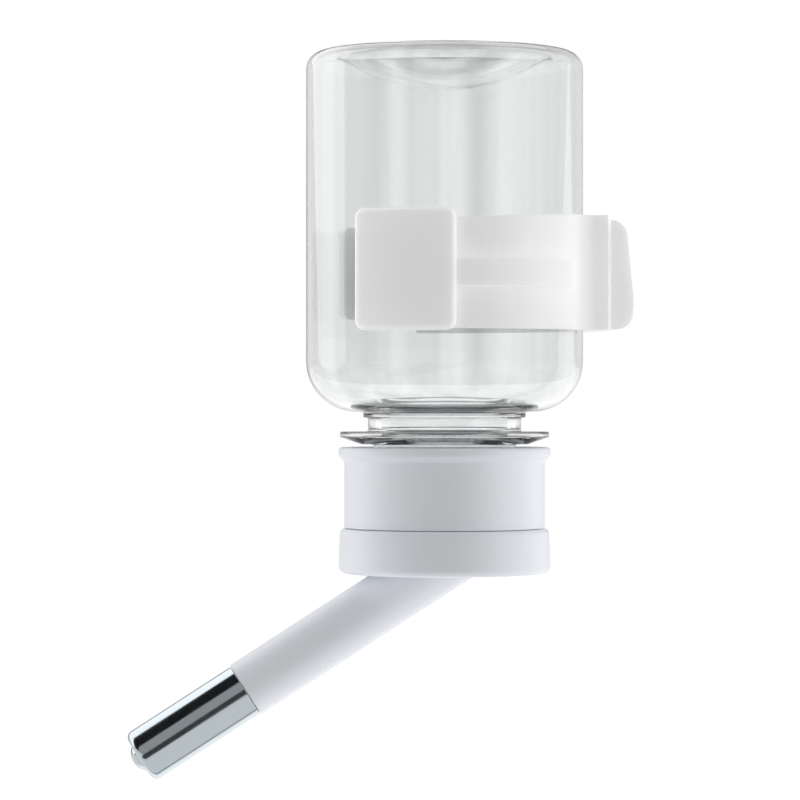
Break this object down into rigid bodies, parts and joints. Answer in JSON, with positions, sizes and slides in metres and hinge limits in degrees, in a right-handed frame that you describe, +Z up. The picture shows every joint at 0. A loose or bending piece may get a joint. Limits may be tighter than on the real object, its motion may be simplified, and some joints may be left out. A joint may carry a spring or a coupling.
{
  "type": "rabbit water bottle",
  "caption": "Hanging small-animal water bottle: clear inverted bottle in a split clip with a cage clamp, screw cap, swivelling slanted spout and sprung ball valve.",
  "frame": {"origin": "middle of the clip's cage seat, the flat face that meets the cage wires, on the bolt's axis", "axes": "+X out of the seat towards the cage, away from the spout; +Z up along the bottle's axis, towards its base"},
  "size_m": [0.1242, 0.0794, 0.181],
  "materials": {
    "clear_pet": "clear, glossy",
    "white_pp": "satin moulded",
    "frosted_pp": "frosted, translucent",
    "silicone": "translucent rubber",
    "nitrile": "smooth black rubber",
    "acetal": "natural moulded",
    "stainless": "turned and brushed",
    "stainless_ball": "polished",
    "spring_steel": "drawn wire",
    "brass": "turned"
  },
  "bodies": {
    "clip": {"clip_ring": "frosted_pp", "clip_bolt": "stainless"},
    "plate": {"lock_plate": "frosted_pp", "bolt_washer": "stainless"},
    "nut": {"thumb_nut": "frosted_pp", "nut_insert": "brass"},
    "bottle": {"bottle": "clear_pet"},
    "seal": {"cap_seal": "silicone"},
    "cap": {"screw_cap": "white_pp", "slip_washer": "acetal"},
    "spout": {"swivel_ring": "white_pp", "spout_tube": "white_pp", "swivel_oring": "nitrile", "snap_ring": "stainless", "tip_sleeve": "stainless", "sleeve_oring": "nitrile", "valve_housing": "acetal", "valve_seat": "silicone", "valve_spring": "spring_steel", "spring_stop": "acetal"},
    "ball": {"valve_ball": "stainless_ball"}
  },
  "joints": [
    {"name": "bottle_slide", "type": "slide", "parent": "clip", "child": "bottle", "axis": [0, 0, 1], "range_m": [-0.07, 0.009]},
    {"name": "seal_travel", "type": "slide", "parent": "bottle", "child": "seal", "axis": [0, 0, -1], "range_m": [0, 0.0105]},
    {"name": "cap_turn", "type": "hinge", "parent": "seal", "child": "cap", "pos_m": [-0.0386, 0, -0.061], "axis": [0, 0, -1], "range_deg": [0, 900]},
    {"name": "spout_swivel", "type": "hinge", "parent": "cap", "child": "spout", "pos_m": [-0.0386, 0, -0.065], "axis": [0, 0, 1], "continuous": true},
    {"name": "ball_push", "type": "slide", "parent": "spout", "child": "ball", "axis": [0.8425, 0, 0.5388], "range_m": [0, 0.002], "stiffness_N_per_m": 150, "springref_m": -0.003, "deforming": ["valve_spring"]},
    {"name": "plate_slide", "type": "slide", "parent": "clip", "child": "plate", "axis": [1, 0, 0], "range_m": [0, 0.0028]},
    {"name": "nut_turn", "type": "hinge", "parent": "plate", "child": "nut", "pos_m": [0.0044, 0, 0], "axis": [1, 0, 0], "range_deg": [0, 1260]}
  ],
  "couplings": [
    {"joint": "seal_travel", "follows": "cap_turn", "m_per_rad": 0.00066845},
    {"joint": "plate_slide", "follows": "nut_turn", "m_per_rad": 0.00012732}
  ]
}
